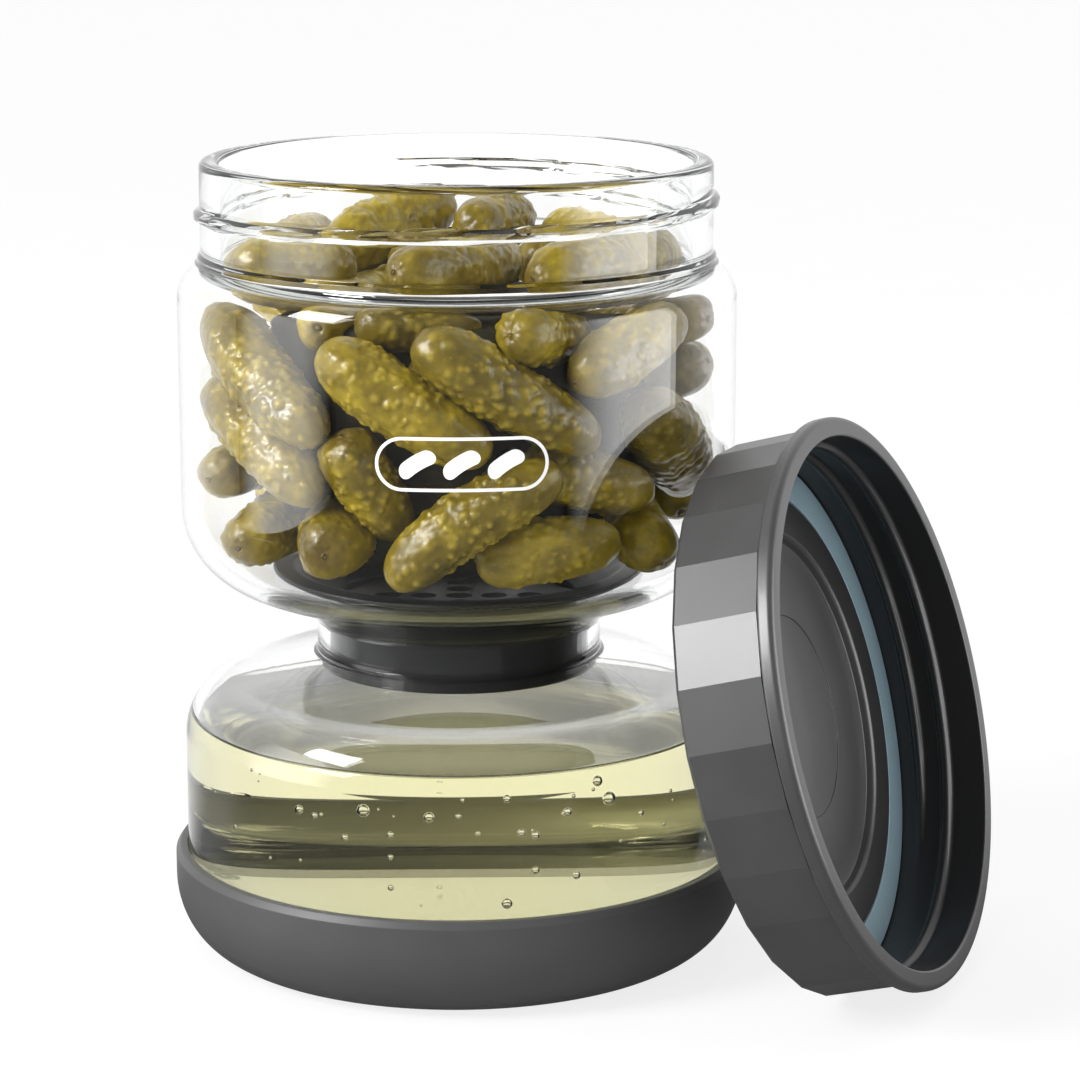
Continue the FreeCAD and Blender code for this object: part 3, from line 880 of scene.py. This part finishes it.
groups = (
    ("gherkins_front_left", front_gherkins[:5], 140, 108),
    ("gherkins_front_middle", front_gherkins[5:9], 140, 108),
    ("gherkins_front_right", front_gherkins[9:], 140, 108),
    ("gherkins_sides", side_gherkins, 92, 68),
    ("gherkins_top_near", top_gherkins[:5], 110, 84),
    ("gherkins_top_far", top_gherkins[5:], 64, 48),
    ("gherkins_far_left", far_gherkins[7:], 56, 42),
    ("gherkins_far_right", far_gherkins[:7], 56, 42),
)
for name, gherkins, rows, columns in groups:
    piece = heap_piece(name, gherkins, rows, columns)
    piece.data.materials.append(gherkin_skin)
    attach(piece, "root")
    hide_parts("gherkin_heap")


# ---------------------------------------------------------------- packed middle of the heap
# What the outer gherkins lie on: the ones deeper in, dark between the gaps. It is one
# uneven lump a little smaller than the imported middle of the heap.
def lumps(r, z, angle):
    """The middle's radius, uneven as the gherkins round it are."""
    return r + 1.2 * math.sin(5 * angle + 0.21 * z) + 0.9 * math.sin(9 * angle - 0.33 * z)


core = lathe("gherkins_middle", rounded([
    (0, 80, 0), (28, 80, 4), (36, 92, 4), (37, 130, 4), (0, 132, 0),
]), 128, lumps)
# The same skin without light: dark, dull and mottled over 6 mm.
deep_skin, tree = blank("gherkin skin in the shade of the heap")
place = add(tree, "ShaderNodeTexCoord").outputs["Object"]
mottle = add(tree, "ShaderNodeTexNoise", {"Vector": place, "Scale": 180.0, "Detail": 4.0})
shade = add(
    tree, "ShaderNodeValToRGB", {"Fac": mottle},
    stops=((0.3, paint("#181506")), (0.7, paint("#2b260c"))),
)
inner_flesh = add(tree, "ShaderNodeBsdfPrincipled", {
    "Base Color": shade, "Roughness": 0.6, "Specular IOR Level": 0.2,
})
add(tree, "ShaderNodeOutputMaterial", {"Surface": inner_flesh})
core.data.materials.append(deep_skin)
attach(core, "root")
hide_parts("gherkin_heap")


# ---------------------------------------------------------------- lid
# A screw lid moulded in charcoal ABS, with a polished faceted wall, a round collar at its
# mouth, a raised ring that plugs the rim and a thread. It leans on the jar on its edge.
lid_facets, corner_radius = 28, 54.3
lid_flat = corner_radius * math.cos(math.pi / lid_facets)
lid_depth, lid_bore, top_wall = 21.0, 52.0, 1.7
collar_radius, collar_low = 55.9, 17.8
tilt, facing = math.radians(15.4), math.radians(-22.7)
leaning = (
    Matrix.Rotation(facing, 4, "Z")
    @ Matrix.Translation((
        (body_radius + 0.2 + (lid_flat - 0.8) * math.sin(tilt)) * MM,
        2.4 * MM,
        (lid_flat * math.cos(tilt) - 0.8 * math.sin(tilt)) * MM,
    ))
    @ Matrix.Rotation(math.pi / 2 - tilt, 4, "Y")
)


def lid_surface(r, z, angle):
    """The lid's radius with the facets outside and the thread in its bore."""
    half = math.pi / lid_facets
    if r > lid_flat - 1 and z < collar_low - 0.6:
        off = (angle + half) % (2 * half) - half
        return r * math.cos(half) / math.cos(off)
    if abs(r - lid_bore) < 0.01 and z > 3:
        return r - ridge_height(
            z, angle, start_height=6.6, turns=1.8, start_bearing=40.0, depth=thread_depth
        )
    return r


profile = rounded([
    (0, 0, 0),
    (corner_radius - 0.8, 0, 0),
    (corner_radius, 0.8, 0),
    (corner_radius, collar_low - 0.7, 0),
    (lid_flat - 0.75, collar_low - 0.65, 0),
    (lid_flat - 0.7, collar_low, 0.2),
    (collar_radius, collar_low, 0.6),
    (collar_radius, lid_depth, 1.2),
    (lid_bore, lid_depth, 0.5),
    (lid_bore, top_wall, 0.6),
    (44.4, top_wall, 0.2),
    (43.8, top_wall + 1.7, 1.2),
    (35.8, top_wall + 1.7, 1.2),
    (35.2, top_wall, 0.2),
    (31.0, top_wall, 0.1),
    (31.0, top_wall + 0.25, 0.1),
    (20.0, top_wall + 0.25, 0.1),
    (20.0, top_wall, 0.1),
    (0, top_wall, 0),
])
profile = filled_in(profile, 3.5, 19.5, 0.36, lid_bore - 0.1)
lid = lathe("lid_moulded", profile, lid_facets * 6, lid_surface, sharp=9.0)
# The thread keeps its rounded look, and the lid knows where its inside is, which is painted in
# shade.
points = lid.data.vertices
out = [math.hypot(*point.co.xy) / MM for point in points]
up = [point.co.z / MM for point in points]
for edge in lid.data.edges:
    if all(out[i] < lid_bore + 0.1 and up[i] > 3.2 for i in edge.vertices):
        edge.use_edge_sharp = False
# Painted shade: the bore and the raised ring inside the lid are marked to be painted darker.
inside = [
    float(35.9 < r < lid_bore + 0.1 and top_wall + 0.01 < z < lid_depth - 0.1)
    for r, z in zip(out, up)
]
lid.data.attributes.new("inside", "FLOAT", "POINT").data.foreach_set("value", inside)
lid.data.transform(leaning)

# Polished, so each facet mirrors the room in its own grey. It is cloudy over 14 mm, and
# painted near black inside, as painted shade.
charcoal_abs, tree = blank("ABS, moulded and polished, charcoal")
place = add(tree, "ShaderNodeTexCoord").outputs["Object"]
cloudy = add(tree, "ShaderNodeTexNoise", {"Vector": place, "Scale": 70.0, "Detail": 3.0})
grey = add(
    tree, "ShaderNodeValToRGB", {"Fac": cloudy},
    stops=((0.3, paint("#3b3b3c")), (0.7, paint("#404041"))),
)
# Painted shade: inside the lid the grey is mixed to near black.
inside = add(tree, "ShaderNodeAttribute", attribute_name="inside").outputs["Fac"]
grey = add(
    tree, "ShaderNodeMix", {0: inside, 6: grey, 7: paint("#141415")}, data_type="RGBA",
).outputs[2]
dull = add(tree, "ShaderNodeMapRange", {"Value": cloudy, "To Min": 0.37, "To Max": 0.43})
shell = add(tree, "ShaderNodeBsdfPrincipled", {
    "Base Color": grey, "Roughness": dull, "Specular IOR Level": 1.0,
    "Coat Weight": 0.12, "Coat Roughness": 0.08,
})
add(tree, "ShaderNodeOutputMaterial", {"Surface": shell})
lid.data.materials.append(charcoal_abs)
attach(lid, "root")
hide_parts("lid_shell")


# ---------------------------------------------------------------- lid's sealing ring
# A flat ring of blue-grey silicone, moulded and pushed in round the raised ring of the lid.
# It presses on the jar's rim when the lid is on.
ring_low, ring_high, ring_inner, ring_outer = 1.8, 2.9, 44.6, 51.8
gasket = lathe("sealing_ring", [tuple(p) for p in rounded([
    (48, ring_low, 0),
    (ring_outer, ring_low, 0.5),
    (ring_outer, ring_high, 0.3),
    (ring_inner, ring_high, 0.3),
    (ring_inner, ring_low, 0.3),
    (47, ring_low, 0),
])], 168, closed=True)
gasket.data.transform(leaning)
# Pigmented right through: even, pale and matt, with a bloom over 12 mm.
blue_silicone, tree = blank("silicone, moulded, blue-grey")
place = add(tree, "ShaderNodeTexCoord").outputs["Object"]
bloom = add(tree, "ShaderNodeTexNoise", {"Vector": place, "Scale": 80.0, "Detail": 3.0})
blue = add(
    tree, "ShaderNodeValToRGB", {"Fac": bloom},
    stops=((0.3, paint("#809aa5")), (0.7, paint("#89a3ae"))),
)
ring = add(tree, "ShaderNodeBsdfPrincipled", {"Base Color": blue, "Roughness": 0.5})
add(tree, "ShaderNodeOutputMaterial", {"Surface": ring})
gasket.data.materials.append(blue_silicone)
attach(gasket, "root")
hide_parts("lid_gasket")
